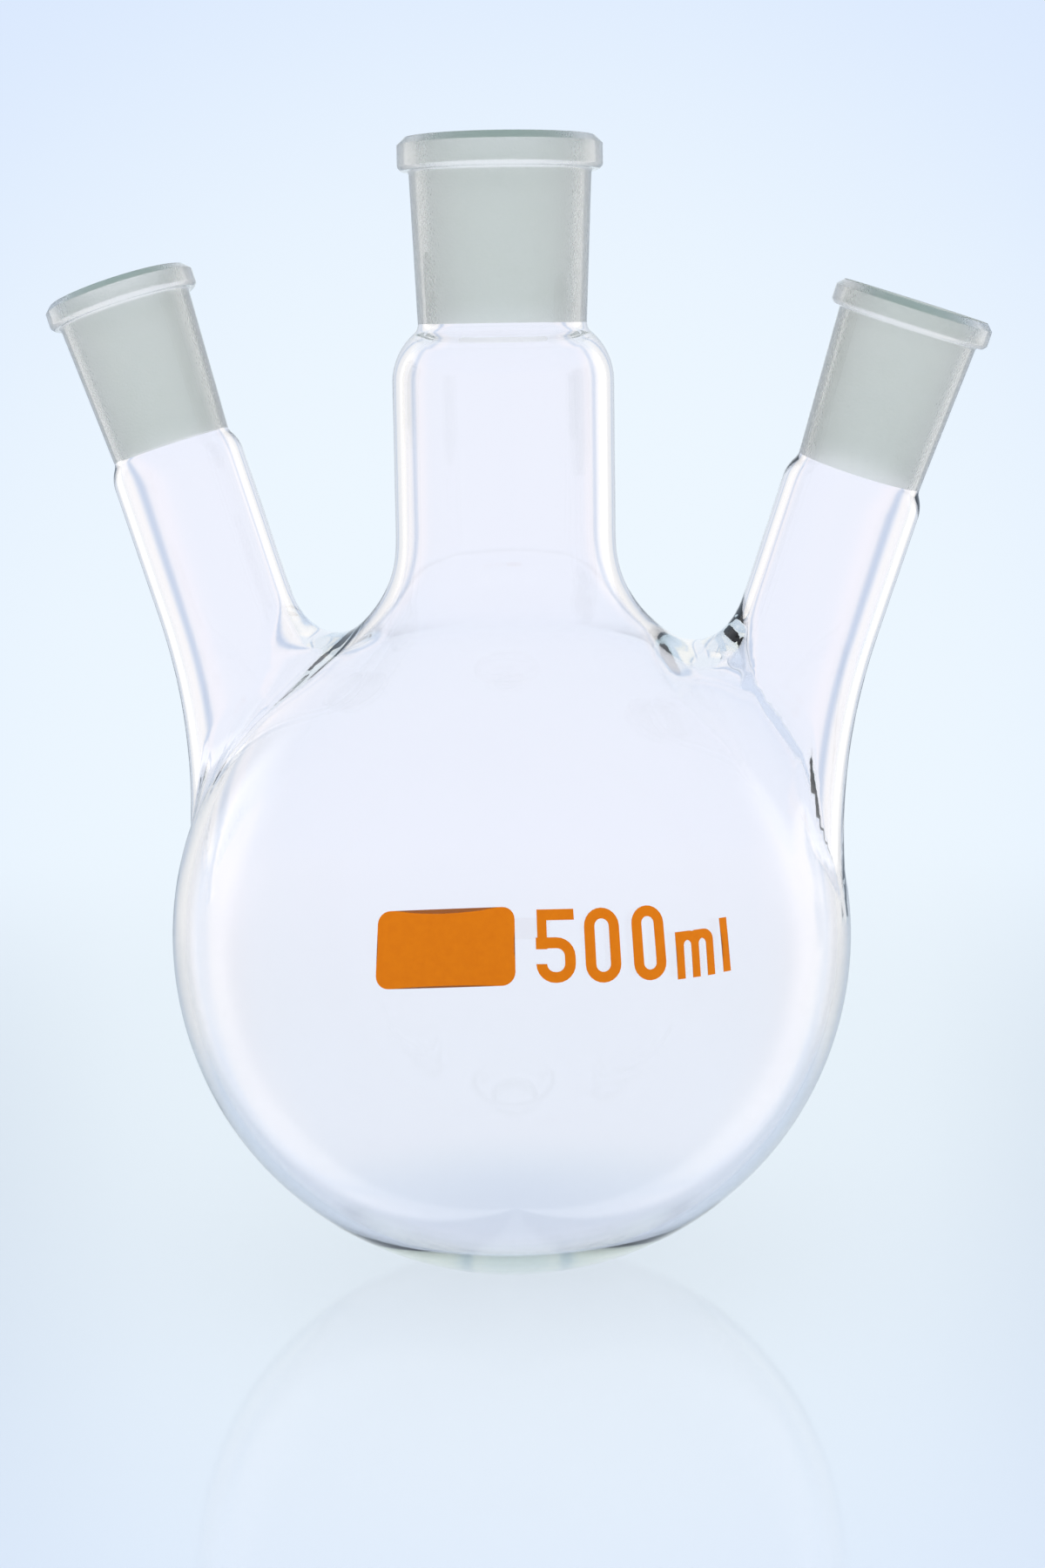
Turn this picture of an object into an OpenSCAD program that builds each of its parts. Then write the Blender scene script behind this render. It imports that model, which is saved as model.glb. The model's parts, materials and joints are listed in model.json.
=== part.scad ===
// Three neck round-bottom flask, blown in one piece from clear laboratory glass.
// A round body carries an upright centre neck and two leaning side necks.
// Each neck ends in a lipped socket, ground inside to a 1 in 10 taper.
// The glass is drawn as the body and its three necks, which meet face to face.
// The origin is the lowest point of the body, on the centre neck's axis.

/* [Body] */
// Outside diameter of the round body
body_d = 105; // [95:1:130]
// Thickness of the glass round the body
body_wall = 1.9; // [1.2:0.1:3]
// Thickness of the glass at the middle of the base
base_wall = 3.4; // [2.2:0.1:6]
// Radius of the flatter floor inside the base
floor_r = 90; // [70:5:160]

/* [Centre neck] */
// Height of the centre lip above the lowest point of the body
height = 173.6; // [165:0.5:220]
// Outside diameter of the centre tube, where a clamp grips it
neck_d = 33.5; // [32:0.5:38]
// Thickness of the centre tube's glass
neck_wall = 1.8; // [1.2:0.1:3]
// Radius of the sweep from the centre tube into the body
neck_sweep_r = 10; // [6:0.5:12]
// Height of the shoulder between the centre tube and its socket
neck_shoulder_h = 7; // [5:0.5:10]

/* [Centre socket, 24/29] */
// Bore at the mouth of the centre socket
neck_mouth_bore = 24; // [22:0.1:25]
// Length of the ground taper in the centre socket
neck_ground_len = 29; // [24:0.5:35]
// Outside diameter of the centre socket under its lip
neck_socket_top_d = 27.4; // [26.8:0.1:29]
// Outside diameter of the centre socket at its foot
neck_socket_foot_d = 25.5; // [24:0.1:27]
// Outside diameter of the centre lip
neck_lip_d = 30.8; // [29.5:0.1:33]
// Height of the centre lip
neck_lip_h = 4.9; // [3:0.1:7]
// Bevel round the top of the centre lip
neck_lip_bevel = 1.1; // [0.4:0.1:1.3]

/* [Side necks] */
// Lean of the left neck from upright
left_lean = 18; // [14:0.5:22]
// Lean of the right neck from upright
right_lean = 18.5; // [14:0.5:22]
// Angle round the body, from the top, at which the left neck's axis leaves it
left_root_angle = 49.3; // [44:0.1:54]
// Angle round the body, from the top, at which the right neck's axis leaves it
right_root_angle = 51.1; // [44:0.1:54]
// Length of the left neck along its axis, from the body to the top of its lip
left_len = 69.6; // [62:0.1:90]
// Length of the right neck along its axis, from the body to the top of its lip
right_len = 66.4; // [62:0.1:90]
// Outside diameter of the side tubes
side_d = 20.9; // [20:0.1:25]
// Thickness of the side tubes' glass
side_wall = 1.6; // [1:0.1:2.2]
// Radius of the long sweep from a side tube into the flank of the body
flank_sweep_r = 95; // [40:1:120]
// Radius of the valley between a side tube and the top of the body
valley_r = 9; // [5:0.5:11]
// Height of the shoulder between a side tube and its socket
side_shoulder_h = 4; // [3:0.5:6]

/* [Side sockets, 19/26] */
// Bore at the mouth of a side socket
side_mouth_bore = 18.8; // [16:0.1:20]
// Length of the ground taper in a side socket
side_ground_len = 26; // [20:0.5:30]
// Outside diameter of a side socket under its lip
side_socket_top_d = 20.8; // [20.4:0.1:22]
// Outside diameter of a side socket at its foot
side_socket_foot_d = 18.6; // [18.2:0.1:20]
// Outside diameter of a side lip
side_lip_d = 23.7; // [22.8:0.1:26]
// Height of a side lip
side_lip_h = 3.8; // [2.5:0.1:6]
// Bevel round the top of a side lip
side_lip_bevel = 1; // [0.4:0.1:1.1]

/* [Hidden] */
$fn = 96;
body_r = body_d / 2;
// Heights above the body's centre of the centre lip's top and of the centre tube's top
neck_lip_top = height - body_r;
neck_tube_top = neck_lip_top - neck_ground_len - neck_shoulder_h;
// The standard ground taper loses 1 mm of diameter in 10 mm of length
ground_taper = 1 / 10;
// Radius of the tight curve where a shoulder turns up into its socket
shoulder_root_r = 1.6;
// Height and set-back of the slope under a lip
lip_under_h = 0.6;
// Bevel inside the mouth of each socket
mouth_bevel = 0.4;
// How far a cut runs past the face it opens
overcut = 1;
// How far a shoulder laps down into its tube
lap = 1;
// How deep the foot of a sweep sinks into the ball, so that the two always cross
sink = 0.02;
// Height above the body's centre at which the centre neck stands on its sweep
neck_join = sweep_height(body_r, neck_d / 2, neck_sweep_r, 0);

// How far the right or left neck's axis passes from the centre of the body
function axis_offset(lean, root_angle) = body_r * sin(root_angle - lean);
// Height along the neck's axis of its root, above the point nearest the body's centre
function root_height(lean, root_angle) = body_r * cos(root_angle - lean);

// Height along a side neck's axis at which its straight tube stands on the body.
// It clears both the sweep into the flank and the valley on the other side.
function side_join(lean, root_angle) =
    max(sweep_height(body_r, side_d / 2, flank_sweep_r, axis_offset(lean, root_angle)),
        sqrt((body_r + valley_r)^2 - (axis_offset(lean, root_angle) - side_d / 2 - valley_r)^2));

// Height at which an arc leaves a tube so that it lands flush on a ball.
// Heights are from the ball's centre, and offset is the tube's distance from it.
function sweep_height(ball_r, tube_r, arc_r, offset) =
    sqrt((ball_r + arc_r - sink)^2 - (tube_r + arc_r + offset)^2);

// Half section of a tube that sweeps out to meet a ball, drawn round the tube's axis.
// The ball's centre lies offset to the far side of the axis from the sweep.
module sweep_section(ball_r, tube_r, arc_r, top, offset = 0) {
    arc_z = sweep_height(ball_r, tube_r, arc_r, offset);
    landing = (ball_r - sink) / (ball_r + arc_r - sink);
    foot_x = (tube_r + arc_r + offset) * landing - offset;
    foot_z = arc_z * landing;
    difference() {
        polygon([[0, foot_z], [foot_x, foot_z], [tube_r + arc_r, arc_z],
            [tube_r, arc_z], [tube_r, top], [0, top]]);
        translate([tube_r + arc_r, arc_z]) circle(arc_r);
    }
}

// Half section of the S-shaped shoulder from a wide tube in to a narrower socket.
// It laps down into the tube, so that the two join over a length.
module shoulder_section(tube_r, socket_r, shoulder_h, root_r) {
    turn = 2 * atan((tube_r - socket_r) / shoulder_h);
    crown_r = shoulder_h / sin(turn) - root_r;
    crown_x = tube_r - crown_r;
    root_x = socket_r + root_r;
    translate([0, -lap]) square([tube_r, lap]);
    difference() {
        union() {
            intersection() {
                translate([crown_x, 0]) circle(crown_r);
                square([tube_r, shoulder_h]);
            }
            polygon([[0, 0], [max(crown_x, 0), 0],
                [crown_x + crown_r * cos(turn), crown_r * sin(turn)],
                [root_x, shoulder_h], [0, shoulder_h]]);
        }
        translate([root_x, shoulder_h]) circle(root_r);
    }
}

// Half section of the outside of a socket and its shoulder, with the lip's top at height 0
module socket_outside_section(tube_r, top_r, foot_r, ground_len, lip_r, lip_h, bevel, shoulder_h) {
    polygon([[0, -ground_len], [foot_r, -ground_len], [top_r, -lip_h],
        [lip_r - lip_under_h, -lip_h], [lip_r, lip_under_h - lip_h],
        [lip_r, -bevel], [lip_r - bevel, 0], [0, 0]]);
    translate([0, -ground_len - shoulder_h])
        shoulder_section(tube_r, foot_r, shoulder_h, shoulder_root_r);
}

// Half section of a socket's bore: bevelled mouth, ground taper and the shoulder below
module socket_bore_section(tube_r, mouth_r, ground_len, shoulder_h, wall) {
    foot_r = mouth_r - ground_len * ground_taper / 2;
    polygon([[0, -ground_len], [foot_r, -ground_len],
        [mouth_r - mouth_bevel * ground_taper / 2, -mouth_bevel], [mouth_r + mouth_bevel, 0],
        [mouth_r + mouth_bevel, overcut], [0, overcut]]);
    translate([0, -ground_len - shoulder_h])
        shoulder_section(tube_r, foot_r, shoulder_h, shoulder_root_r + wall);
}

// Half section of a ball, drawn round its own centre
module ball_section(ball_r) {
    intersection() {
        circle(ball_r);
        translate([0, -ball_r]) square([ball_r, 2 * ball_r]);
    }
}

// Outside of the round body, swept up to the foot of the centre neck
module body_outside() {
    translate([0, 0, body_r]) rotate_extrude() {
        ball_section(body_r);
        sweep_section(body_r, neck_d / 2, neck_sweep_r, neck_join);
    }
}

// Hollow of the round body, with a flatter floor over the thick base
module body_inside() {
    hollow_r = body_r - body_wall;
    translate([0, 0, body_r]) rotate_extrude() {
        intersection() {
            ball_section(hollow_r);
            translate([0, base_wall + floor_r - body_r]) circle(floor_r);
        }
        sweep_section(hollow_r, neck_d / 2 - neck_wall, neck_sweep_r + neck_wall,
            neck_join + overcut);
    }
}

// Carries a shape drawn round the z axis to a side neck that leans to the right.
// Height 0 becomes the point of the neck's axis nearest the body's centre.
module on_side_axis(lean, root_angle) {
    translate([0, 0, body_r]) rotate([0, lean, 0])
        translate([axis_offset(lean, root_angle), 0, 0]) children();
}

// A boss whose sweep lands on the top of the body and turns up flush with the side tube.
// It rounds out the valley on the side of the neck that faces the centre neck.
module valley_boss(ball_r, tube_r, arc_r, lean, root_angle) {
    offset = axis_offset(lean, root_angle) - tube_r - arc_r;
    arc_angle = lean + asin(offset / (ball_r + arc_r));
    boss_angle = arc_angle + asin((tube_r + arc_r) / (ball_r + arc_r));
    boss_top = sweep_height(ball_r, tube_r, arc_r, 0);
    translate([0, 0, body_r]) rotate([0, boss_angle, 0]) rotate_extrude()
        sweep_section(ball_r, tube_r, arc_r, boss_top);
}

// The part of a side neck's sweep that belongs to the body
module side_root(ball_r, tube_r, flank_r, arc_r, lean, root_angle, top) {
    on_side_axis(lean, root_angle) rotate_extrude()
        sweep_section(ball_r, tube_r, flank_r, top, axis_offset(lean, root_angle));
    valley_boss(ball_r, tube_r, arc_r, lean, root_angle);
}

module side_root_outside(lean, root_angle) {
    side_root(body_r, side_d / 2, flank_sweep_r, valley_r, lean, root_angle,
        side_join(lean, root_angle));
}

module side_root_inside(lean, root_angle) {
    side_root(body_r - body_wall, side_d / 2 - side_wall, flank_sweep_r + side_wall,
        valley_r + side_wall, lean, root_angle, side_join(lean, root_angle) + overcut);
}

module body() {
    color("aliceblue", 0.5) difference() {
        union() {
            body_outside();
            side_root_outside(right_lean, right_root_angle);
            mirror([1, 0, 0]) side_root_outside(left_lean, left_root_angle);
        }
        union() {
            body_inside();
            side_root_inside(right_lean, right_root_angle);
            mirror([1, 0, 0]) side_root_inside(left_lean, left_root_angle);
        }
    }
}

// A neck turned round the z axis: a straight tube from its join up to the shoulder,
// with its socket's outside and bore given as the two children, drawn from the lip's top
module turned_neck(tube_r, wall, join, tube_top, lip_top) {
    rotate_extrude() difference() {
        union() {
            translate([0, join]) square([tube_r, tube_top - join]);
            translate([0, lip_top]) children(0);
        }
        union() {
            translate([0, join - overcut]) square([tube_r - wall, tube_top - join + overcut]);
            translate([0, lip_top]) children(1);
        }
    }
}

module centre_neck() {
    color("aliceblue", 0.5) translate([0, 0, body_r])
        turned_neck(neck_d / 2, neck_wall, neck_join, neck_tube_top, neck_lip_top) {
            socket_outside_section(neck_d / 2, neck_socket_top_d / 2, neck_socket_foot_d / 2,
                neck_ground_len, neck_lip_d / 2, neck_lip_h, neck_lip_bevel, neck_shoulder_h);
            socket_bore_section(neck_d / 2 - neck_wall, neck_mouth_bore / 2, neck_ground_len,
                neck_shoulder_h, neck_wall);
        }
}

module side_neck(lean, root_angle, neck_len) {
    lip_top = root_height(lean, root_angle) + neck_len;
    tube_top = lip_top - side_ground_len - side_shoulder_h;
    color("aliceblue", 0.5) on_side_axis(lean, root_angle)
        turned_neck(side_d / 2, side_wall, side_join(lean, root_angle), tube_top, lip_top) {
            socket_outside_section(side_d / 2, side_socket_top_d / 2, side_socket_foot_d / 2,
                side_ground_len, side_lip_d / 2, side_lip_h, side_lip_bevel, side_shoulder_h);
            socket_bore_section(side_d / 2 - side_wall, side_mouth_bore / 2, side_ground_len,
                side_shoulder_h, side_wall);
        }
}

module right_neck() {
    side_neck(right_lean, right_root_angle, right_len);
}

module left_neck() {
    mirror([1, 0, 0]) side_neck(left_lean, left_root_angle, left_len);
}

body();
centre_neck();
left_neck();
right_neck();
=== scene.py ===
import json
import math

import bmesh
import bpy
import numpy as np
from mathutils import Matrix, Vector
from mathutils.geometry import delaunay_2d_cdt

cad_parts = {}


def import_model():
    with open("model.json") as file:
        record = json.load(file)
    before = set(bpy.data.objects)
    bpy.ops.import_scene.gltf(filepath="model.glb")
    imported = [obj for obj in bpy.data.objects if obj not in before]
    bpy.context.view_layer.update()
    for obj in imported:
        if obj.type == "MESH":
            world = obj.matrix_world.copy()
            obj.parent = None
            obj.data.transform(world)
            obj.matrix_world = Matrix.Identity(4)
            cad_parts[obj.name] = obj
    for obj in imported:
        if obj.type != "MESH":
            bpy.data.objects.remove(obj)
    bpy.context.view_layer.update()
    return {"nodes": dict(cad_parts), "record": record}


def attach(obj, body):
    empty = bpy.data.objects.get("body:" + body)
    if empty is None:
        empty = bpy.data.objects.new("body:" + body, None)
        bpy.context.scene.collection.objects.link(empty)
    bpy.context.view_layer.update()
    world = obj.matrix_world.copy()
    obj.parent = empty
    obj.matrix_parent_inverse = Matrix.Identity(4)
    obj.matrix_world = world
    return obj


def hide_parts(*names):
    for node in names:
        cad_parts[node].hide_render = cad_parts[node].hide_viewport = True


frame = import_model()

MM = 0.001
TURN = 2 * math.pi

# ---------------------------------------------------------------- sizes, in mm
BODY_R = 52.5
BODY_WALL = 1.9
BASE_WALL = 3.4
BASE_DOME_R = 90.0
BASE_EDGE_R = 3.2

NECK_R = 16.75
NECK_WALL = 1.8
NECK_SWEEP_R = 10.0
SIDE_R = 10.45
SIDE_WALL = 1.6
FLANK_SWEEP_R = 95.0

# Socket sizes: ground length, shoulder height, mouth radius, outside radius at
# the top and at the foot, and the lip's radius, height and bevel
CENTRE_SOCKET = dict(ground=27.4, shoulder=8.6, mouth=12.0, top=13.7, foot=12.75,
                     lip=15.4, lip_h=4.9, bevel=1.1)
SIDE_SOCKET = dict(ground=26.0, shoulder=4.0, mouth=9.4, top=10.4, foot=9.3,
                   lip=11.85, lip_h=3.8, bevel=1.0)
GROUND_TAPER = 0.1
SHOULDER_ROOT_R = 1.6
MOUTH_CHAMFER = 0.45
MOUTH_DROP = 0.02
LIP_UNDERCUT_R, LIP_UNDERCUT_H = 0.5, 0.6
LIP_ROUNDINGS = (0.7, 0.5, 0.5, 0.18, 0.22, 0.12, 0.12)
LIP_TOP_WITHIN = 0.1

# Where a side tube's long flare lands on the ball it is cut off a little lower,
# and its weld grows from almost nothing there to its full width
FLARE_LAP = 2.0
FLARE_FADE = 12.0
LANDED_WELD = 0.05

# The side tubes' welds. The fillet is widest in the valley that faces the centre
# neck and almost nil on the flank. Pairs in a weld are for the left and the right
# tube: the fillet's radius, and the height of its lumps
FLANK_FILLET, LEAST_FILLET = 0.6, 0.5
FLANK_FACING = (-0.85, -0.45)
VALLEY_FACING = (0.1, 0.95)
SEAM_WIDTH = 3.2
SEAM_TOP = (58, 66)
FILLET_UNEVENNESS_SIZE = 6.0
OUTER_WELD = dict(fillet=(3.0, 3.8), valley=6.2, uneven=0.0,
                  lump=(0.05, 0.08), lump_size=5.0, shift=4.0)
INNER_WELD = dict(fillet=(3.2, 3.8), valley=5.3, uneven=0.5,
                  lump=(0.07, 0.14), lump_size=4.2, shift=2.0)

# The long, low waves of hand-blown glass, which fade out up the tubes
WAVE_H, WAVE_SIZE = 0.035, 17.0
WAVE_SHIFT = dict(outside=0.0, inside=6.0)
SIDE_WAVE_END = (52, 64)
CENTRE_WAVE_END = (BODY_R + 54, BODY_R + 61)
TUBE_REACH = 6.0
RIPPLE_PHASES = (0.7, 2.1, 4.4, 1.3, 5.2, 3.6)

# The blown surface ends at a cut across each tube, and swept necks go on from
# there. The grid lines are (from, to, spacing), closer where the welds are
CENTRE_CLIP = 116.5
SIDE_CLIP = 70.0
NECK_LAP = 1.0
GRID_X = ((-66.3, -18, 1.35), (-18, 18, 1.6), (18, 66.3, 1.35))
GRID_Y = ((-54.4, -18, 1.7), (-18, 18, 1.25), (18, 54.4, 1.7))
GRID_Z = ((-1.6, 80, 1.8), (80, 121, 1.05))
COLUMNS = 112
ROW_STEP = 2.5
SOCKET_STEP = 4.0

BODY_C = np.array([0.0, 0.0, BODY_R])


# ---------------------------------------------------------------- the necks' axes
def unit(v):
    v = np.asarray(v, float)
    return v / np.linalg.norm(v)


class Neck:
    """A neck's axis and sizes. Heights run along the axis from the point
    nearest the body's centre."""

    def __init__(self, mount, radius, wall, socket, clip):
        self.axis = unit(mount["axis"])
        top = np.array(mount["pos_m"]) / MM
        self.top = float((top - BODY_C) @ self.axis)
        self.foot = top - self.top * self.axis
        self.offset = float(np.linalg.norm(self.foot - BODY_C))
        self.radius, self.wall, self.socket, self.clip = radius, wall, socket, clip
        self.x = unit(np.cross([0.0, 1.0, 0.0], self.axis))
        self.y = np.cross(self.axis, self.x)

    def local(self, p):
        """Height along the axis, distance from it, and the cosine of the angle
        round it from the side that faces the centre neck."""
        d = p - self.foot
        h = d @ self.axis
        x, y = d @ self.x, d @ self.y
        r = np.hypot(x, y)
        inward = -np.sign(self.foot[0]) if self.offset > 1 else 1.0
        return h, r, inward * x / np.maximum(r, 1e-6)

    def at(self, h, r, angle):
        ring = np.outer(np.cos(angle), self.x) + np.outer(np.sin(angle), self.y)
        return self.foot + self.axis * h + ring * r


mounts = {m["name"]: m for m in frame["record"]["mounts"]}
CENTRE = Neck(mounts["centre_socket"], NECK_R, NECK_WALL, CENTRE_SOCKET, CENTRE_CLIP - BODY_R)
LEFT = Neck(mounts["left_socket"], SIDE_R, SIDE_WALL, SIDE_SOCKET, SIDE_CLIP)
RIGHT = Neck(mounts["right_socket"], SIDE_R, SIDE_WALL, SIDE_SOCKET, SIDE_CLIP)
NECKS = (CENTRE, LEFT, RIGHT)


# ---------------------------------------------------------------- the blown surfaces
def round_union(a, b, k):
    """Two signed distances joined with a round fillet of radius k."""
    return (np.maximum(k, np.minimum(a, b))
            - np.hypot(np.maximum(k - a, 0), np.maximum(k - b, 0)))


def soft_union(a, b, k, power=2.5):
    """A union whose fillet starts with no curvature, so that no line shows there.
    Its middle is as far out as that of a round fillet of radius k."""
    k = k * (1 - 2 ** -0.5) / (1 - 2 ** (-1 / power))
    left = np.maximum(k - a, 0) ** power + np.maximum(k - b, 0) ** power
    return np.maximum(k, np.minimum(a, b)) - left ** (1 / power)


def smooth(lo, hi, x):
    """0 below lo, 1 above hi, and a soft step between."""
    t = np.clip((x - lo) / (hi - lo), 0, 1)
    return t * t * (3 - 2 * t)


def trumpet(neck, p, radius, sweep_r, ball_r):
    """Distance to a tube that flares towards the body on a long arc, the points'
    angle cosine and height, and how wide the weld is there, from 0 to 1."""
    h, r, facing = neck.local(p)
    arc_x = radius + sweep_r
    arc_h = math.sqrt((ball_r + sweep_r) ** 2 - (arc_x + neck.offset) ** 2)
    flare = sweep_r - np.hypot(r - arc_x, h - arc_h)
    d = np.where(h > arc_h, r - radius, flare)
    landing = arc_h * ball_r / (ball_r + sweep_r)
    d = np.maximum(d, landing - FLARE_LAP - h)
    risen = smooth(landing - FLARE_LAP, landing + FLARE_FADE, h)
    return d, facing, h, LANDED_WELD + (1 - LANDED_WELD) * risen


def ripple(p, size, shift):
    """A smooth, repeatable unevenness between about -1 and 1."""
    x, y, z = (p / size).T
    a, b, c, d, e, f = (phase + shift for phase in RIPPLE_PHASES)
    return (np.sin(x * 1.7 + y * 2.3 + a) * np.sin(y * 1.9 - z * 1.3 + b)
            + np.sin(z * 2.1 + x * 1.1 + c) * np.sin(x * 2.9 - y * 0.7 + d)
            + np.sin(z * 1.6 - x * 2.2 + e) * np.sin(y * 2.6 + z * 0.9 + f)) / 2


def blown(p, inside):
    """Signed distance to the outside of the glass, or to its hollow."""
    ball_r = BODY_R - (BODY_WALL if inside else 0.0)
    d = np.linalg.norm(p - BODY_C, axis=1) - ball_r
    if inside:
        dome_c = np.array([0, 0, BASE_WALL + BASE_DOME_R])
        dome = np.linalg.norm(p - dome_c, axis=1) - BASE_DOME_R
        d = -round_union(-d, -dome, BASE_EDGE_R)
    tube_r = NECK_R - (NECK_WALL if inside else 0.0)
    sweep = NECK_SWEEP_R + (NECK_WALL if inside else 0.0)
    tube = np.maximum(np.hypot(p[:, 0], p[:, 1]) - tube_r, BODY_R - p[:, 2])
    d = soft_union(d, tube, sweep)
    weld = INNER_WELD if inside else OUTER_WELD
    up_tube = smooth(*CENTRE_WAVE_END, p[:, 2])
    for i, neck in enumerate((LEFT, RIGHT)):
        side_r = neck.radius - (neck.wall if inside else 0.0)
        flank = FLANK_SWEEP_R + (neck.wall if inside else 0.0)
        side, facing, h, width = trumpet(neck, p, side_r, flank, ball_r)
        front = smooth(*FLANK_FACING, facing)
        valley = smooth(*VALLEY_FACING, facing)
        uneven = weld["uneven"] * ripple(p, FILLET_UNEVENNESS_SIZE, 1.0 + i)
        fillet = FLANK_FILLET + front * (weld["fillet"][i] + weld["valley"] * valley + uneven)
        seam = np.exp(-((np.abs(d) + np.abs(side)) / SEAM_WIDTH) ** 2)
        seam *= (1 - smooth(*SEAM_TOP, h)) * front
        lump = weld["lump"][i] * seam * ripple(p, weld["lump_size"], weld["shift"] + 3 * i)
        d = soft_union(d, side, np.maximum(fillet, LEAST_FILLET) * width) + lump
        on_tube = (np.abs(side) < TUBE_REACH) * smooth(*SIDE_WAVE_END, h)
        up_tube = np.maximum(up_tube, on_tube)
    wave = WAVE_H * ripple(p, WAVE_SIZE, WAVE_SHIFT["inside" if inside else "outside"])
    return d + wave * (1 - up_tube)


def slope(p, inside, step=0.02):
    """The gradient of blown()."""
    g = np.empty_like(p)
    for i in range(3):
        e = np.zeros(3)
        e[i] = step
        g[:, i] = blown(p + e, inside) - blown(p - e, inside)
    return g / (2 * step)


def onto(p, inside, rounds=3, least=0.05):
    """Moves points onto the surface. The gradient squared counts as no less than
    least, so that no point is thrown far."""
    for _ in range(rounds):
        g = slope(p, inside)
        p = p - g * (blown(p, inside) / np.maximum((g * g).sum(1), least))[:, None]
    return p


def spaced(*spans):
    """Grid lines over spans of (start, end, spacing)."""
    out = []
    for lo, hi, step in spans:
        out.append(np.linspace(lo, hi, max(2, round((hi - lo) / step) + 1)))
    return np.unique(np.concatenate(out).round(6))


def beside(idx, axes, back, cells):
    """The cells one step back, or none, from grid places, and which of them exist."""
    c = idx.copy()
    for axis, steps in zip(axes, back):
        c[:, axis] -= steps
    return c, ((c >= 0) & (c < cells)).all(1)


def surface_net(inside, parts=12):
    """Vertices and quads of the surface where blown() is zero: one vertex in each
    grid cell that the surface crosses, and a quad round each edge it crosses. The
    grid is worked out in parts to save memory."""
    lines = [spaced(*spans) for spans in (GRID_X, GRID_Y, GRID_Z)]
    grid = np.stack(np.meshgrid(*lines, indexing="ij"), -1)
    shape = grid.shape[:3]
    flat = grid.reshape(-1, 3)
    f = np.concatenate([blown(part, inside) for part in np.array_split(flat, parts)])
    f = f.reshape(shape)
    low = f < 0
    cells = tuple(n - 1 for n in shape)
    total, count = np.zeros(cells + (3,)), np.zeros(cells)
    crossings = []
    for ax in range(3):
        a = [slice(None)] * 3
        b = [slice(None)] * 3
        a[ax], b[ax] = slice(0, -1), slice(1, None)
        a, b = tuple(a), tuple(b)
        cross = low[a] != low[b]
        idx = np.argwhere(cross)
        fa, fb = f[a][cross], f[b][cross]
        pa, pb = grid[a][cross], grid[b][cross]
        pt = pa + (pb - pa) * (fa / (fa - fb))[:, None]
        others = [o for o in range(3) if o != ax]
        for back in ((0, 0), (0, 1), (1, 0), (1, 1)):
            c, ok = beside(idx, others, back, cells)
            np.add.at(total, tuple(c[ok].T), pt[ok])
            np.add.at(count, tuple(c[ok].T), 1)
        crossings.append((ax, others, idx, low[a][cross]))
    live = count > 0
    number = np.full(cells, -1)
    number[live] = np.arange(live.sum())
    verts = total[live] / count[live][:, None]
    quads = []
    for ax, others, idx, falling in crossings:
        corners = [beside(idx, others, back, cells) for back in ((1, 1), (0, 1), (0, 0), (1, 0))]
        ok = np.all([there for _, there in corners], axis=0)
        q = np.stack([number[tuple(c[ok].T)] for c, _ in corners], 1)
        turn = falling[ok] if ax != 1 else ~falling[ok]
        q[~turn] = q[~turn][:, ::-1]
        quads.append(q)
    quads = np.concatenate(quads)
    if inside:
        quads = quads[:, ::-1]
    return relaxed(onto(verts, inside), quads, inside), quads


def relaxed(verts, quads, inside, rounds=3):
    """Evens out the spacing of the vertices along the surface."""
    edges = np.concatenate([quads[:, [i, (i + 1) % 4]] for i in range(4)])
    for _ in range(rounds):
        total, count = np.zeros_like(verts), np.zeros(len(verts))
        for a, b in ((0, 1), (1, 0)):
            np.add.at(total, edges[:, a], verts[edges[:, b]])
            np.add.at(count, edges[:, a], 1)
        verts = onto(0.5 * verts + 0.5 * total / count[:, None], inside, rounds=2)
    return verts


def clipped(inside, close=0.01, reach=1.5):
    """The blown surface up to a cut across each tube, as a bmesh in mm, and each
    cut's vertices in order round its neck. They are found by how close they are
    to the cut's plane, and how near to the tube's wall."""
    verts, quads = surface_net(inside)
    bm = bmesh.new()
    made = [bm.verts.new(v) for v in verts]
    for q in quads.tolist():
        bm.faces.new([made[i] for i in q])
    for neck in (LEFT, RIGHT, CENTRE):
        bmesh.ops.bisect_plane(bm, geom=bm.verts[:] + bm.edges[:] + bm.faces[:], dist=1e-4,
                               plane_co=Vector(neck.foot + neck.axis * neck.clip),
                               plane_no=Vector(neck.axis), clear_outer=True)
    edge_verts = [v for v in bm.verts if v.is_boundary]
    places = np.array([v.co for v in edge_verts])
    loops = []
    for neck in NECKS:
        h, r, _ = neck.local(places)
        tube_r = neck.radius - (neck.wall if inside else 0.0)
        mine = np.flatnonzero((np.abs(h - neck.clip) < close) & (np.abs(r - tube_r) < reach))
        d = places[mine] - neck.foot
        angle = np.arctan2(d @ neck.y, d @ neck.x) % TURN
        order = np.argsort(angle)
        exact = neck.at(neck.clip, tube_r, angle[order])
        loop = [edge_verts[mine[i]] for i in order]
        for v, co in zip(loop, exact):
            v.co = co
        loops.append((loop, angle[order]))
    return bm, loops


# ---------------------------------------------------------------- the necks' profiles
def arc(cx, cy, r, a0, a1, steps):
    """Points on a round stretch, between two angles in degrees."""
    t = np.radians(np.linspace(a0, a1, steps + 1))
    return [(cx + r * math.cos(a), cy + r * math.sin(a)) for a in t]


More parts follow.
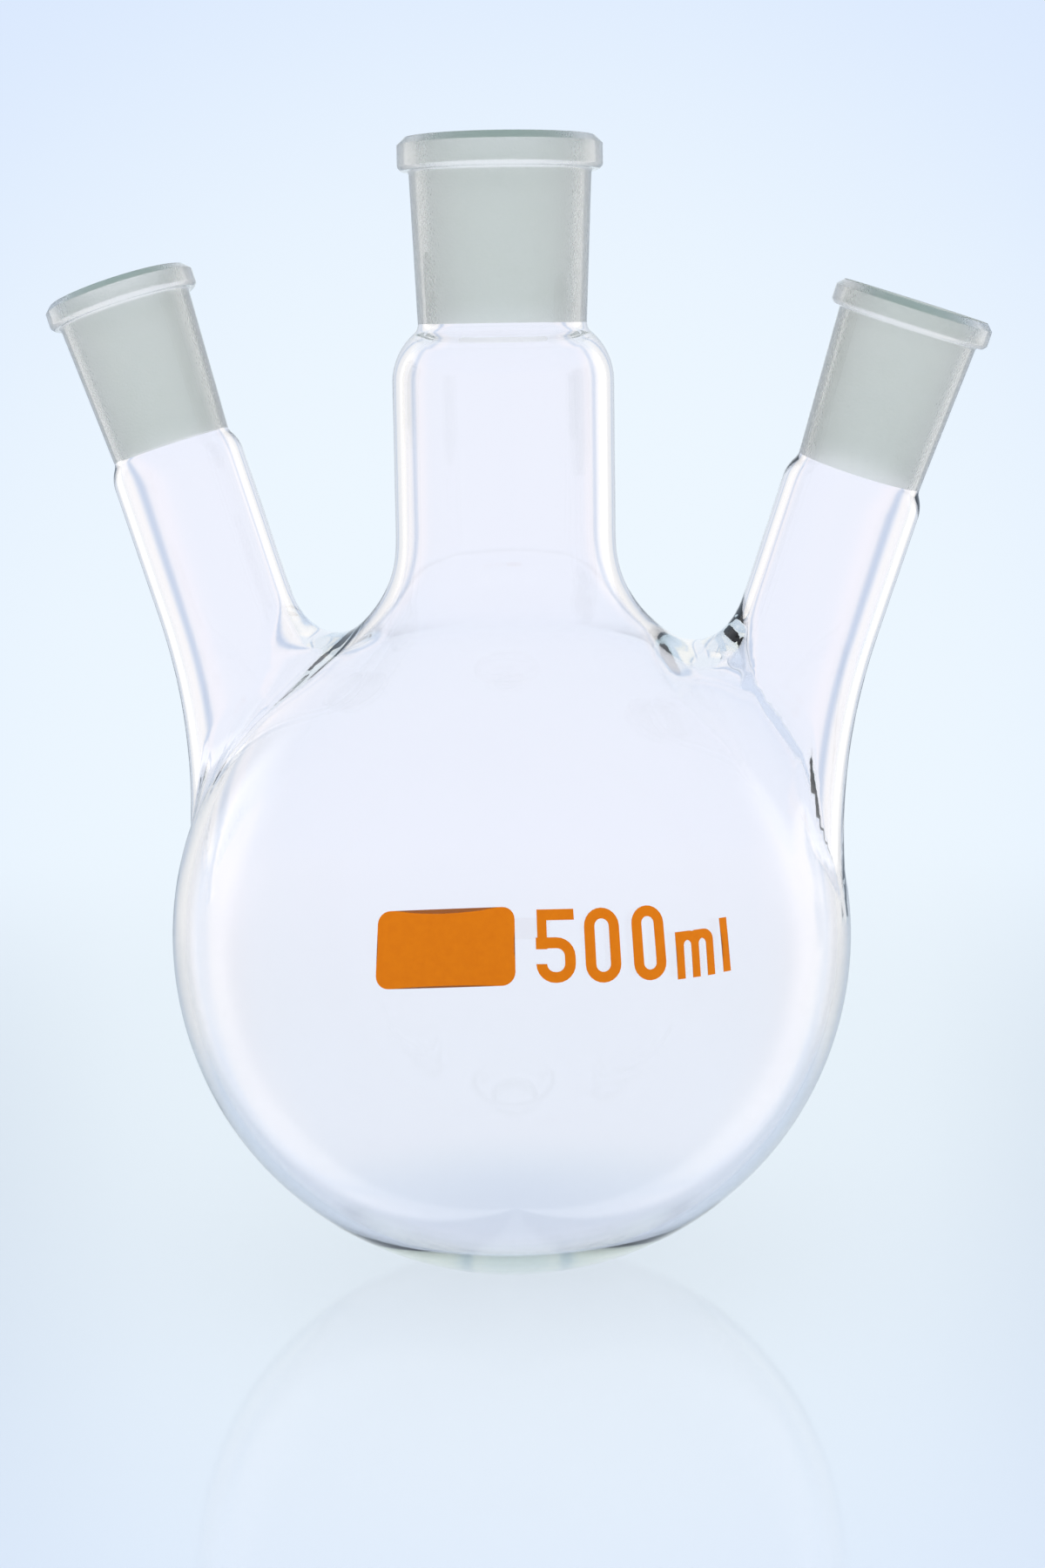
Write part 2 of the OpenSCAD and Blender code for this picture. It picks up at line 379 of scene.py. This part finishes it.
def rounded(points, radii, steps=4, share=0.48):
    """A polyline with its corners rounded. No corner takes more than a share of an
    edge, which is less than half."""
    out = [points[0]]
    for a, b, c, r in zip(points, points[1:], points[2:], radii):
        a, b, c = np.array(a), np.array(b), np.array(c)
        u, v = unit(a - b), unit(c - b)
        half = math.acos(float(np.clip(u @ v, -1, 1))) / 2
        room = share * min(np.linalg.norm(a - b), np.linalg.norm(c - b))
        back = min(r / math.tan(half), room)
        for t in np.linspace(0, 1, steps + 1):
            out.append(tuple((1 - t) ** 2 * (b + u * back) + 2 * t * (1 - t) * b
                             + t * t * (b + v * back)))
    return out + [points[-1]]


def shoulder(tube_r, socket_r, height, foot_h, root_r, crown_steps=8, root_steps=6):
    """The S from a tube in to its socket, from below upwards."""
    turn = 2 * math.atan((tube_r - socket_r) / height)
    crown_r = height / math.sin(turn) - root_r
    deg = math.degrees(turn)
    crown = arc(tube_r - crown_r, foot_h, crown_r, 0, deg, crown_steps)
    root = arc(socket_r + root_r, foot_h + height, root_r, 180 + deg, 180, root_steps)
    return crown + root[1:]


def evenly(a, b, step):
    """Points from a to b, both left out."""
    n = max(1, round(math.dist(a, b) / step))
    return [tuple(np.array(a) + (np.array(b) - np.array(a)) * i / n) for i in range(1, n)]


def neck_profile(neck):
    """Points (radius, height) up a neck's outside, over the lip and down the bore,
    and the numbers of the points where the ground surface starts and ends."""
    s, top = neck.socket, neck.top
    ground_foot = top - s["ground"]
    bore_foot = (s["mouth"] - s["ground"] * GROUND_TAPER / 2, ground_foot)
    foot_h = ground_foot - s["shoulder"]
    tube_r, inner_r = neck.radius, neck.radius - neck.wall
    start_h = neck.clip + NECK_LAP
    out = [(tube_r, start_h)]
    out += evenly(out[0], (tube_r, foot_h), ROW_STEP)
    out += shoulder(tube_r, s["foot"], s["shoulder"], foot_h, SHOULDER_ROOT_R)
    lip_foot = top - s["lip_h"]
    corners = [out[-1], (s["top"], lip_foot), (s["lip"] - LIP_UNDERCUT_R, lip_foot),
               (s["lip"], lip_foot + LIP_UNDERCUT_H), (s["lip"], top - s["bevel"]),
               (s["lip"] - s["bevel"], top), (s["mouth"] + MOUTH_CHAMFER, top),
               (s["mouth"] - MOUTH_DROP, top - MOUTH_CHAMFER), bore_foot]
    lip = rounded(corners, LIP_ROUNDINGS)[1:-1]
    out += evenly(out[-1], lip[0], SOCKET_STEP)
    out += lip
    # the grinding reaches over the mouth on to the flat top of the lip
    ground_start = next(i for i, (r, h) in enumerate(out) if h > top - LIP_TOP_WITHIN)
    out += evenly(out[-1], bore_foot, ROW_STEP)
    ground_end = len(out)
    inner_root_r = SHOULDER_ROOT_R + neck.wall
    out += shoulder(inner_r, bore_foot[0], s["shoulder"], foot_h, inner_root_r)[::-1]
    out += evenly(out[-1], (inner_r, start_h), ROW_STEP)
    out.append((inner_r, start_h))
    return np.array(out), ground_start, ground_end


def profile_normals(points):
    """Outward normals (radial, along the axis) at a profile's points."""
    d = np.diff(points, axis=0)
    d /= np.linalg.norm(d, axis=1)[:, None]
    n = np.stack([d[:, 1], -d[:, 0]], 1)
    both = np.concatenate([n[:1], n[:-1] + n[1:], n[-1:]])
    return both / np.linalg.norm(both, axis=1)[:, None]


def zipped(below, below_angles, above, above_angles, flip):
    """Triangles between two rings of vertices that run the same way round."""
    gap = (above_angles - below_angles[0] + math.pi) % TURN - math.pi
    start = int(np.argmin(np.abs(gap)))
    above = above[start:] + above[:start]
    over = np.concatenate([above_angles[start:], above_angles[:start] + TURN])
    over = np.append(over, over[0] + TURN)
    over -= round((over[0] - below_angles[0]) / TURN) * TURN
    under = np.append(below_angles, below_angles[0] + TURN)
    n, m = len(below), len(above)
    tris, i, j = [], 0, 0
    while i < n or j < m:
        if j >= m or (i < n and under[i + 1] <= over[j + 1]):
            tri = (below[i % n], below[(i + 1) % n], above[j % m])
            i += 1
        else:
            tri = (below[i % n], above[(j + 1) % m], above[j % m])
            j += 1
        tris.append(tri[::-1] if flip else tri)
    return tris


# ---------------------------------------------------------------- the glass mesh
GLASS, GROUND = 0, 1


def glass_mesh():
    """The whole flask as one closed mesh in metres: its vertices, their normals,
    its faces and each face's kind."""
    verts, normals, faces, cuts = [], [], [], []
    for inside in (False, True):
        bm, loops = clipped(inside)
        bm.verts.index_update()
        base = len(verts)
        co = np.array([v.co for v in bm.verts])
        n = slope(co, inside)
        n /= np.linalg.norm(n, axis=1)[:, None]
        verts += co.tolist()
        normals += (-n if inside else n).tolist()
        faces += [[base + v.index for v in face.verts] for face in bm.faces]
        cuts.append([([base + v.index for v in loop], angles) for loop, angles in loops])
        bm.free()
    kinds = [GLASS] * len(faces)
    angles = np.arange(COLUMNS) * TURN / COLUMNS
    for k, neck in enumerate(NECKS):
        profile, ground_start, ground_end = neck_profile(neck)
        base = len(verts)
        outward = neck.at(0, 1.0, angles) - neck.foot
        for (r, h), (nr, nh) in zip(profile, profile_normals(profile)):
            verts += neck.at(h, r, angles).tolist()
            normals += (outward * nr + neck.axis * nh).tolist()
        for row in range(len(profile) - 1):
            kind = GROUND if ground_start <= row < ground_end else GLASS
            a = base + row * COLUMNS
            for c in range(COLUMNS):
                d = (c + 1) % COLUMNS
                faces.append([a + c, a + d, a + COLUMNS + d, a + COLUMNS + c])
                kinds.append(kind)
        first = [base + c for c in range(COLUMNS)]
        last = [len(verts) - COLUMNS + c for c in range(COLUMNS)]
        for (loop, at), ring, flip in ((cuts[0][k], first, False), (cuts[1][k], last, True)):
            tris = zipped(loop, at, ring, angles, flip)
            faces += [list(tri) for tri in tris]
            kinds += [GLASS] * len(tris)
    return np.array(verts) * MM, np.array(normals), faces, kinds


def placed(name, verts, faces):
    """A mesh object in the scene, from vertices in metres."""
    mesh = bpy.data.meshes.new(name)
    mesh.from_pydata([tuple(v) for v in verts], [], faces)
    mesh.update()
    ob = bpy.data.objects.new(name, mesh)
    bpy.context.scene.collection.objects.link(ob)
    return ob


def piece(name, verts, faces):
    """A part of the flask. It has no joints, so each one rides on the root."""
    ob = placed(name, verts, faces)
    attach(ob, "root")
    return ob


# ---------------------------------------------------------------- shader nodes
def node(tree, kind, **values):
    """A node with some inputs or settings given by name."""
    n = tree.nodes.new(kind)
    for key, value in values.items():
        if key in n.inputs:
            n.inputs[key].default_value = value
        else:
            setattr(n, key, value)
    return n


def ranged(tree, source, lo, hi):
    """A soft step of a value, from 0 at lo to 1 at hi."""
    n = node(tree, "ShaderNodeMapRange", interpolation_type="SMOOTHSTEP")
    n.inputs["From Min"].default_value = lo
    n.inputs["From Max"].default_value = hi
    tree.links.new(source, n.inputs["Value"])
    return n.outputs["Result"]


def maths(tree, operation, *values):
    """A sum on values that are each a number or a link."""
    n = node(tree, "ShaderNodeMath", operation=operation)
    for slot, value in zip(n.inputs, values):
        if isinstance(value, (int, float)):
            slot.default_value = value
        else:
            tree.links.new(value, slot)
    return n.outputs[0]


def dotted(tree, source, direction):
    n = node(tree, "ShaderNodeVectorMath", operation="DOT_PRODUCT")
    n.inputs[1].default_value = direction
    tree.links.new(source, n.inputs[0])
    return n.outputs["Value"]


def mixed(tree, factor, a, b):
    """A colour between a and b, each a colour or a link."""
    n = node(tree, "ShaderNodeMix", data_type="RGBA")
    tree.links.new(factor, n.inputs[0])
    colour_slots = [slot for slot in n.inputs if slot.type == "RGBA"]
    for slot, value in zip(colour_slots, (a, b)):
        if isinstance(value, tuple):
            slot.default_value = (*value, 1)
        else:
            tree.links.new(value, slot)
    return next(slot for slot in n.outputs if slot.type == "RGBA")


def mixed_shaders(tree, factor, a, b):
    """A shader between a and b, by a number or a link."""
    n = node(tree, "ShaderNodeMixShader")
    if isinstance(factor, float):
        n.inputs["Fac"].default_value = factor
    else:
        tree.links.new(factor, n.inputs["Fac"])
    tree.links.new(a, n.inputs[1])
    tree.links.new(b, n.inputs[2])
    return n.outputs["Shader"]


# ---------------------------------------------------------------- materials
GLASS_IOR = 1.474
ABSORB_COLOUR = (0.50, 0.64, 0.56)
CLEAR_DENSITY = 16.0
GROUND_DENSITY = 5.0


def material(name):
    mat = bpy.data.materials.new(name)
    mat.use_nodes = True
    tree = mat.node_tree
    tree.nodes.clear()
    return mat, tree, tree.nodes.new("ShaderNodeOutputMaterial")


def noise_in(tree, scale, detail, roughness=0.5, stretch=None):
    """A noise in the object's own space, which may be stretched along its axes."""
    where = node(tree, "ShaderNodeTexCoord").outputs["Object"]
    if stretch:
        mapping = node(tree, "ShaderNodeMapping", Scale=stretch)
        tree.links.new(where, mapping.inputs["Vector"])
        where = mapping.outputs["Vector"]
    noise = node(tree, "ShaderNodeTexNoise", Scale=scale, Detail=detail, Roughness=roughness)
    tree.links.new(where, noise.inputs["Vector"])
    return noise.outputs["Fac"]


def coloured(tree, shader, noise, colours, stops=(0.0, 1.0)):
    """Gives a shader a colour that wanders between two by a noise."""
    ramp = node(tree, "ShaderNodeValToRGB")
    for element, colour, position in zip(ramp.color_ramp.elements, colours, stops):
        element.color = (*colour, 1)
        element.position = position
    tree.links.new(noise, ramp.inputs["Fac"])
    tree.links.new(ramp.outputs["Color"], shader.inputs["Base Color"])


def bumped(tree, shader, noise, strength, distance):
    """Gives a shader a finely uneven surface by a noise."""
    bump = node(tree, "ShaderNodeBump", Strength=strength, Distance=distance)
    tree.links.new(noise, bump.inputs["Height"])
    tree.links.new(bump.outputs["Normal"], shader.inputs["Normal"])


def absorbing(tree, out, density):
    """Tints what passes through the glass, by how far it goes."""
    volume = node(tree, "ShaderNodeVolumeAbsorption", Density=density)
    volume.inputs["Color"].default_value = (*ABSORB_COLOUR, 1)
    tree.links.new(volume.outputs["Volume"], out.inputs["Volume"])


def clear_glass():
    mat, tree, out = material("clear_glass")
    p = node(tree, "ShaderNodeBsdfPrincipled", Roughness=0.0, IOR=GLASS_IOR)
    p.inputs["Transmission Weight"].default_value = 1.0
    coloured(tree, p, noise_in(tree, scale=38.0, detail=1.5, roughness=0.4),
             ((0.992, 0.978, 0.998), (1.0, 0.988, 1.0)))
    bumped(tree, p, noise_in(tree, scale=55.0, detail=1.0), strength=0.10, distance=0.0002)
    absorbing(tree, out, CLEAR_DENSITY)
    tree.links.new(p.outputs["BSDF"], out.inputs["Surface"])
    return mat


def ground_glass():
    mat, tree, out = material("ground_glass")
    p = node(tree, "ShaderNodeBsdfPrincipled", Roughness=0.52, IOR=GLASS_IOR)
    p.inputs["Transmission Weight"].default_value = 0.98
    streaks = noise_in(tree, scale=160.0, detail=4.0, roughness=0.6, stretch=(1.0, 1.0, 2.6))
    coloured(tree, p, streaks,
             ((0.985, 0.985, 0.92), (1.0, 0.995, 0.945)), stops=(0.3, 0.75))
    bumped(tree, p, noise_in(tree, scale=2600.0, detail=2.0), strength=0.35, distance=0.00012)
    absorbing(tree, out, GROUND_DENSITY)
    tree.links.new(p.outputs["BSDF"], out.inputs["Surface"])
    return mat


def enamel():
    mat, tree, out = material("orange_enamel")
    p = node(tree, "ShaderNodeBsdfPrincipled", Roughness=0.38)
    p.inputs["Specular IOR Level"].default_value = 0.12
    coloured(tree, p, noise_in(tree, scale=900.0, detail=3.0, roughness=0.6),
             ((0.665, 0.168, 0.0005), (0.715, 0.195, 0.001)), stops=(0.25, 0.8))
    bumped(tree, p, noise_in(tree, scale=1800.0, detail=2.0), strength=0.25, distance=0.00003)
    tree.links.new(p.outputs["BSDF"], out.inputs["Surface"])
    return mat


# ---------------------------------------------------------------- flask
verts, normals, faces, kinds = glass_mesh()
flask = piece("flask_glass", verts, faces)
flask.data.materials.append(clear_glass())
flask.data.materials.append(ground_glass())
flask.data.polygons.foreach_set("material_index", np.array(kinds, np.int32))
flask.data.polygons.foreach_set("use_smooth", np.ones(len(faces), bool))
flask.data.normals_split_custom_set_from_vertices([tuple(n) for n in normals])
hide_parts(*frame["nodes"])

# ---------------------------------------------------------------- print
# How far the back and the face of the enamel stand off the glass, and the grid of
# points that lets it follow the ball: its start and its spacing
PRINT_LIFT = (0.015, 0.075)
PRINT_GRID = (0.4, 0.7)
DIGIT_STROKE, LETTER_STROKE = 1.5, 1.25
PANEL_CORNER_R = 1.8
SQUARE = (0, 0, 0, 0)


def on_ball(u, v):
    """Points on the glass, u mm round the ball from its -Y side and v mm up from
    its middle."""
    a, e = u / BODY_R, v / BODY_R
    ball = np.stack([np.sin(a) * np.cos(e), -np.cos(a) * np.cos(e), np.sin(e)], 1)
    return onto(BODY_C + ball * BODY_R, False)


def rounded_box(x0, y0, x1, y1, radii, steps=7):
    """A rectangle whose corners have their own radii, from the lower left round."""
    corners = ((x0, y0, 180), (x1, y0, 270), (x1, y1, 0), (x0, y1, 90))
    points = []
    for (x, y, start), r in zip(corners, radii):
        if r == 0:
            points.append((x, y))
            continue
        cx = x + r * (1 if x == x0 else -1)
        cy = y + r * (1 if y == y0 else -1)
        points += arc(cx, cy, r, start, start + 90, steps - 1)
    return points


# A mark's shape is the outlines it fills and those it cuts out, from its width,
# height and stroke. The panel has a corner radius in place of the stroke
def panel(w, h, r):
    return [rounded_box(0, 0, w, h, [r] * 4)], []


def zero(w, h, t):
    r = w / 2
    return [rounded_box(0, 0, w, h, [r] * 4)], [rounded_box(t, t, w - t, h - t, [r - t] * 4)]


def five(w, h, t):
    bowl, r, stem = 0.62 * h, 0.48 * w, 0.04 * w
    gap_foot, gap_top = 0.26 * h, 0.46 * h
    solid = [rounded_box(0, 0, w, bowl, [r, r, r, 0]),
             rounded_box(stem, h - t, w, h, SQUARE),
             rounded_box(stem, gap_top, stem + 0.9 * t, h, SQUARE)]
    cut = [rounded_box(t, t, w - t, bowl - t, [r - t, r - t, r - t, 0.2]),
           rounded_box(-1, gap_foot, t, gap_top, SQUARE)]
    return solid, cut


def letter_m(w, h, t):
    middle, r = w / 2, 0.24 * w
    solid = [rounded_box(0, 0, middle + t / 2, h, [0, 0, r, 0]),
             rounded_box(middle - t / 2, 0, w, h, [0, 0, r, r / 2])]
    cut = [rounded_box(t, -1, middle - t / 2, h - t, [0, 0, r / 2, r / 2]),
           rounded_box(middle + t / 2, -1, w - t, h - t, [0, 0, r / 2, r / 2])]
    return solid, cut


def letter_l(w, h, t):
    return [rounded_box(0, 0, w, h, SQUARE)], []


def within(p, outline):
    """Even-odd test of points against one closed outline."""
    inside = np.zeros(len(p), bool)
    for (x0, y0), (x1, y1) in zip(outline, outline[1:] + outline[:1]):
        if y0 == y1:
            continue
        crosses = (p[:, 1] > min(y0, y1)) & (p[:, 1] <= max(y0, y1))
        inside ^= crosses & (p[:, 0] < x0 + (p[:, 1] - y0) * (x1 - x0) / (y1 - y0))
    return inside


def filled(solid, cut, width, height):
    """Flat points and triangles that fill the solid outlines but not the cut ones."""
    points, edges = [], []
    for outline in solid + cut:
        n = len(points)
        points += outline
        edges += [(n + i, n + (i + 1) % len(outline)) for i in range(len(outline))]
    first, spacing = PRINT_GRID
    grid = np.meshgrid(np.arange(first, width, spacing), np.arange(first, height, spacing))
    points += np.stack(grid, -1).reshape(-1, 2).tolist()
    flat, _, tris, *_ = delaunay_2d_cdt([Vector(p) for p in points], edges, [], 0, 1e-5)
    flat, tris = np.array(flat), np.array(tris)
    middle = flat[tris].mean(1)
    keep = np.any([within(middle, outline) for outline in solid], 0)
    for outline in cut:
        keep &= ~within(middle, outline)
    used, tris = np.unique(tris[keep], return_inverse=True)
    return flat[used], tris.reshape(-1, 3).tolist()


def printed(name, marks):
    """One thin closed shell on the glass for each mark: its shape, left edge,
    foot, width, height, stroke and how much its right end rises."""
    verts, faces = [], []
    for shape, left, foot, width, height, stroke, rise in marks:
        flat, tris = filled(*shape(width, height, stroke), width, height)
        x, y = flat.T
        ball = on_ball(left + x, foot + y + rise * x / width)
        out = slope(ball, False)
        out /= np.linalg.norm(out, axis=1)[:, None]
        base, n = len(verts), len(ball)
        for lift in PRINT_LIFT:
            verts += ((ball + out * lift) * MM).tolist()
        sides = []
        for a, b, c in tris:
            faces.append((base + n + a, base + n + b, base + n + c))
            faces.append((base + c, base + b, base + a))
            sides += [(a, b), (b, c), (c, a)]
        shared = set(sides)
        faces += [(base + a, base + b, base + n + b, base + n + a)
                  for a, b in sides if (b, a) not in shared]
    piece(name, verts, faces).data.materials.append(ENAMEL)


ENAMEL = enamel()
printed("marking_spot", [(panel, -7.3, 2.84, 19.8, 10.8, PANEL_CORNER_R, 1.1)])
printed("volume_mark", [
    (five, 15.4, 4.1, 5.5, 10.1, DIGIT_STROKE, -0.1),
    (zero, 22.3, 3.75, 5.1, 10.35, DIGIT_STROKE, -0.1),
    (zero, 29.3, 3.5, 4.9, 10.4, DIGIT_STROKE, -0.1),
    (letter_m, 35.9, 3.1, 6.2, 6.6, LETTER_STROKE, 0),
    (letter_l, 43.6, 3.2, 1.3, 7.6, LETTER_STROKE, 0),
])

# ---------------------------------------------------------------- camera
# Fitted to the photo's outlines: the focal length in its pixels, and where the
# camera stands, in mm
IMAGE_H_PX = 1800
FOCAL_PX = 3168.93
SENSOR_H = 36.0
CAM_AT = Vector((96.199, -410.199, 142.918)) * MM
CAM_RIGHT = Vector((0.975073, 0.221393, -0.014777))
CAM_UP = Vector((-0.020532, 0.156339, 0.987490))
CAM_BACK = Vector((0.220933, -0.962571, 0.156988))
camera_data = bpy.data.cameras.new("camera")
camera_data.sensor_fit = "VERTICAL"
camera_data.sensor_height = SENSOR_H
camera_data.lens = FOCAL_PX / IMAGE_H_PX * SENSOR_H
camera_data.clip_start = 0.01
camera_data.clip_end = 50
camera = bpy.data.objects.new("camera", camera_data)
facing = Matrix((CAM_RIGHT, CAM_UP, CAM_BACK)).transposed()
camera.matrix_world = Matrix.Translation(CAM_AT) @ facing.to_4x4()
bpy.context.scene.collection.objects.link(camera)
bpy.context.scene.camera = camera

# ---------------------------------------------------------------- world
# What stands round the studio, by bearing in degrees from the backdrop's middle, the
# same on either side: as it shows through the glass, and as the glass mirrors it
THROUGH = (
    (0, (0.90, 0.945, 1.03)), (8, (0.90, 0.945, 1.03)), (10.5, (0.98, 0.98, 1.04)),
    (12.5, (0.96, 0.97, 1.02)), (14.5, (0.56, 0.66, 0.83)), (16, (0.58, 0.68, 0.84)),
    (18, (0.86, 0.90, 0.97)), (20, (1.0, 1.0, 1.0)), (27, (1.08, 1.06, 1.04)),
    (40, (1.08, 1.06, 1.04)), (56, (0.86, 0.89, 0.92)), (80, (0.78, 0.83, 0.88)),
    (128, (0.84, 0.90, 0.98)), (180, (0.80, 0.86, 0.94)),
)
MIRRORED = (
    (0, (0.46, 0.51, 0.55)), (8, (0.46, 0.51, 0.55)), (13, (0.22, 0.26, 0.31)),
    (43, (0.20, 0.24, 0.29)), (51, (1.0, 1.0, 1.0)), (68, (1.0, 1.0, 1.0)),
    (77, (0.50, 0.53, 0.56)), (128, (0.44, 0.47, 0.50)), (180, (0.42, 0.45, 0.49)),
)
MIRRORED_LEVEL = 1.8
OVERHEAD = (0.86, 0.92, 1.0)
MIRRORED_OVERHEAD = (0.44, 0.48, 0.53)
ROOM = (0.97, 0.985, 1.0)
BACKDROP_EDGE = (0.708, 0.815, 0.991)
BACKDROP_MIDDLE = (0.847, 0.930, 1.0)
# Where each gives way to the next: the cosine from the backdrop's middle, and how
# steeply a ray rises
MIDDLE_SPREAD = (0.94, 0.997)
TABLE_EDGE = (-0.42, -0.30)
CEILING_EDGE = (0.28, 0.55)


def ring(tree, turn, stands):
    """The colours that stand round the studio, by how far round the ray goes."""
    ramp = node(tree, "ShaderNodeValToRGB")
    stops = ramp.color_ramp.elements
    stops[0].position, stops[1].position = 0.0, 1.0
    stops[0].color = stops[1].color = (*stands[-1][1], 1)
    for degrees, colour in stands[:-1]:
        for side in (-1, 1) if degrees else (1,):
            stops.new(0.5 + side * degrees / 360).color = (*colour, 1)
    tree.links.new(turn, ramp.inputs["Fac"])
    return ramp.outputs["Color"]


def background(tree, colour, strength=1.0):
    n = node(tree, "ShaderNodeBackground", Strength=strength)
    if isinstance(colour, tuple):
        n.inputs["Color"].default_value = (*colour, 1)
    else:
        tree.links.new(colour, n.inputs["Color"])
    return n.outputs["Background"]


def world():
    """The plain backdrop to the camera, the studio to the glass, and an even room
    to everything it lights."""
    studio = bpy.data.worlds.new("studio")
    studio.use_nodes = True
    tree = studio.node_tree
    tree.nodes.clear()
    out = tree.nodes.new("ShaderNodeOutputWorld")
    path = node(tree, "ShaderNodeLightPath").outputs
    toward = node(tree, "ShaderNodeTexCoord").outputs["Generated"]
    flat_ahead = Vector((-CAM_BACK.x, -CAM_BACK.y, 0)).normalized()
    flat_right = Vector((flat_ahead.y, -flat_ahead.x, 0))
    ahead, right = dotted(tree, toward, flat_ahead), dotted(tree, toward, flat_right)
    up = dotted(tree, toward, (0, 0, 1))
    # the backdrop, a little paler straight behind the flask
    middle = ranged(tree, dotted(tree, toward, -CAM_BACK), *MIDDLE_SPREAD)
    backdrop = mixed(tree, middle, BACKDROP_EDGE, BACKDROP_MIDDLE)
    # what shows through the glass: the studio all round, and its ceiling
    bearing = maths(tree, "ARCTAN2", right, ahead)
    turn = maths(tree, "MULTIPLY_ADD", bearing, 0.5 / math.pi, 0.5)
    above_table = ranged(tree, up, *TABLE_EDGE)
    ceiling = ranged(tree, up, *CEILING_EDGE)
    through = mixed(tree, above_table, backdrop, ring(tree, turn, THROUGH))
    through = mixed(tree, ceiling, through, OVERHEAD)
    seen = mixed(tree, path["Is Camera Ray"], through, backdrop)
    # what the glass mirrors: refracted rays count as glossy too, so they come off
    mirrored = mixed(tree, ceiling, ring(tree, turn, MIRRORED), MIRRORED_OVERHEAD)
    bounced = maths(tree, "SUBTRACT", path["Is Glossy Ray"], path["Is Transmission Ray"])
    studio_shader = mixed_shaders(tree, maths(tree, "MAXIMUM", bounced, 0.0),
                                  background(tree, seen),
                                  background(tree, mirrored, MIRRORED_LEVEL))
    looking = maths(tree, "MAXIMUM", path["Is Camera Ray"], path["Is Glossy Ray"])
    looking = maths(tree, "MAXIMUM", looking, path["Is Transmission Ray"])
    shader = mixed_shaders(tree, looking, background(tree, ROOM), studio_shader)
    tree.links.new(shader, out.inputs["Surface"])
    bpy.context.scene.world = studio


# ---------------------------------------------------------------- floor
FLOOR_COLOUR = (0.85, 0.95, 1.0)
# The floor is mostly clear, so that the backdrop shows through it: a larger share
# of paint leaves a faint line on it where it fades out
FLOOR_CLEAR = 0.82
FLOOR_IOR = 1.75
FLOOR_ROUGHNESS = 0.07
FLOOR_FADE = (0.08, 0.40)
FLOOR_NEAR, FLOOR_FAR = 0.01, 0.9
FLOOR_RINGS, FLOOR_SPOKES = 24, 96


def floor():
    """A pale, slightly glossy table top that fades into the background."""
    n = FLOOR_SPOKES
    angles = np.arange(n) * TURN / n
    verts, faces = [(0, 0, 0)], [(0, 1 + c, 1 + (c + 1) % n) for c in range(n)]
    for r in np.geomspace(FLOOR_NEAR, FLOOR_FAR, FLOOR_RINGS):
        verts += [(r * math.cos(a), r * math.sin(a), 0) for a in angles]
    for k in range(FLOOR_RINGS - 1):
        a = 1 + k * n
        faces += [(a + c, a + n + c, a + n + (c + 1) % n, a + (c + 1) % n) for c in range(n)]
    ob = placed("floor", verts, faces)
    mat, tree, out = material("floor")
    paint = node(tree, "ShaderNodeBsdfDiffuse")
    paint.inputs["Color"].default_value = (*FLOOR_COLOUR, 1)
    sheen = node(tree, "ShaderNodeBsdfAnisotropic", Roughness=FLOOR_ROUGHNESS)
    clear = node(tree, "ShaderNodeBsdfTransparent").outputs["BSDF"]
    grazing = node(tree, "ShaderNodeFresnel", IOR=FLOOR_IOR)
    where = node(tree, "ShaderNodeTexCoord")
    length = node(tree, "ShaderNodeVectorMath", operation="LENGTH")
    tree.links.new(where.outputs["Object"], length.inputs[0])
    shader = mixed_shaders(tree, FLOOR_CLEAR, paint.outputs["BSDF"], clear)
    shader = mixed_shaders(tree, grazing.outputs["Fac"], shader, sheen.outputs["BSDF"])
    shader = mixed_shaders(tree, ranged(tree, length.outputs["Value"], *FLOOR_FADE), shader, clear)
    tree.links.new(shader, out.inputs["Surface"])
    ob.data.materials.append(mat)


# ---------------------------------------------------------------- lamps
LAMP_WATTS = 0.8
FLASK_MIDDLE = Vector((0, 0, 0.07))


def lamp(name, at, size):
    """A soft lamp that lights the print and the floor, and doesn't show in the glass."""
    data = bpy.data.lights.new(name, "AREA")
    data.shape = "RECTANGLE"
    data.size, data.size_y = size
    data.energy = LAMP_WATTS
    ob = bpy.data.objects.new(name, data)
    ob.location = at
    ob.rotation_euler = (FLASK_MIDDLE - Vector(at)).to_track_quat("-Z", "Y").to_euler()
    ob.visible_glossy = ob.visible_transmission = ob.visible_camera = False
    bpy.context.scene.collection.objects.link(ob)


world()
floor()
lamp("lamp_left", at=(-0.75, -0.15, 0.35), size=(0.35, 0.9))
lamp("lamp_right", at=(0.75, 0.05, 0.35), size=(0.35, 0.9))
lamp("lamp_top", at=(0.1, -0.2, 0.9), size=(0.6, 0.6))

scene = bpy.context.scene
scene.view_settings.view_transform = "Standard"
# Light bounces many times inside the thick glass of the welds and the base
scene.cycles.max_bounces = 40
scene.cycles.transmission_bounces = 32
scene.cycles.glossy_bounces = 16
